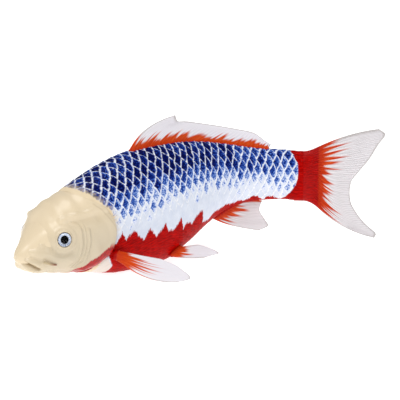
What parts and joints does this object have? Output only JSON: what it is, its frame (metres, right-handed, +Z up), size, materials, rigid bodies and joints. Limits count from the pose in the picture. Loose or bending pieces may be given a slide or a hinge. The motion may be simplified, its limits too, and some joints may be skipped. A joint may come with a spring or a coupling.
{
  "type": "koi carp figure",
  "caption": "Hollow moulded koi carp display figure resting on its belly, tail curved to one side, with glassy eyes and soft translucent fins that flex at their roots.",
  "frame": {"origin": "centre of the overall bounding box in plan, on the table the belly rests on", "axes": "+X from the head end towards the tail end along the longest extent, -Y towards the figure's left side, +Z up"},
  "size_m": [0.3386, 0.1444, 0.118],
  "materials": {
    "cream_lacquer": "glossy cream lacquer",
    "scale_paint": "navy scales with white edges fading to pearl, satin lacquer",
    "structural_vinyl": "bare grey moulding",
    "root_paint": "vermilion airbrushed, satin",
    "fin_vinyl": "milky translucent soft vinyl, red streaks from the root",
    "eye_silver": "silvered iris",
    "eye_black": "glossy black pupil",
    "eye_clear": "clear domed acrylic"
  },
  "bodies": {
    "figure": {"head_shell": "cream_lacquer", "body_shell_left": "scale_paint", "body_shell_right": "scale_paint", "neck_collar": "structural_vinyl", "locating_pin_1": "structural_vinyl", "locating_pin_2": "structural_vinyl", "locating_pin_3": "structural_vinyl", "locating_pin_4": "structural_vinyl", "dorsal_fin": "fin_vinyl", "caudal_root": "root_paint", "anal_root": "root_paint", "left_pectoral_root": "root_paint", "right_pectoral_root": "root_paint", "left_pelvic_root": "root_paint", "right_pelvic_root": "root_paint", "left_eye_cup": "eye_silver", "left_eye_pupil": "eye_black", "left_eye_lens": "eye_clear", "right_eye_cup": "eye_silver", "right_eye_pupil": "eye_black", "right_eye_lens": "eye_clear", "left_barbel": "cream_lacquer", "right_barbel": "cream_lacquer"},
    "caudal_blade": {"caudal_fin": "fin_vinyl"},
    "anal_blade": {"anal_fin": "fin_vinyl"},
    "left_pectoral_blade": {"left_pectoral_fin": "fin_vinyl"},
    "right_pectoral_blade": {"right_pectoral_fin": "fin_vinyl"},
    "left_pelvic_blade": {"left_pelvic_fin": "fin_vinyl"},
    "right_pelvic_blade": {"right_pelvic_fin": "fin_vinyl"}
  },
  "joints": [
    {"name": "caudal_flex", "type": "hinge", "parent": "figure", "child": "caudal_blade", "pos_m": [0.12845, -0.00524, 0.05575], "axis": [0, 0, -1], "range_deg": [-18, 18], "stiffness_Nm_per_rad": 0.08},
    {"name": "anal_flex", "type": "hinge", "parent": "figure", "child": "anal_blade", "pos_m": [0.05159, 0.02388, 0.0273], "axis": [0.9507, -0.0202, 0.3095], "range_deg": [-20, 20], "stiffness_Nm_per_rad": 0.03},
    {"name": "left_pectoral_flex", "type": "hinge", "parent": "figure", "child": "left_pectoral_blade", "pos_m": [-0.0833, -0.03742, 0.021], "axis": [-0.1298, -0.4457, 0.8857], "range_deg": [-4, 22], "stiffness_Nm_per_rad": 0.03},
    {"name": "right_pectoral_flex", "type": "hinge", "parent": "figure", "child": "right_pectoral_blade", "pos_m": [-0.09934, 0.01936, 0.021], "axis": [-0.3438, 0.312, 0.8857], "range_deg": [-22, 4], "stiffness_Nm_per_rad": 0.03},
    {"name": "left_pelvic_flex", "type": "hinge", "parent": "figure", "child": "left_pelvic_blade", "pos_m": [-0.01618, -0.01109, 0.0101], "axis": [0.8525, 0.1121, 0.5105], "range_deg": [-22, 4], "stiffness_Nm_per_rad": 0.02},
    {"name": "right_pelvic_flex", "type": "hinge", "parent": "figure", "child": "right_pelvic_blade", "pos_m": [-0.02836, 0.03203, 0.0101], "axis": [0.7852, 0.3504, 0.5105], "range_deg": [-4, 22], "stiffness_Nm_per_rad": 0.02}
  ]
}
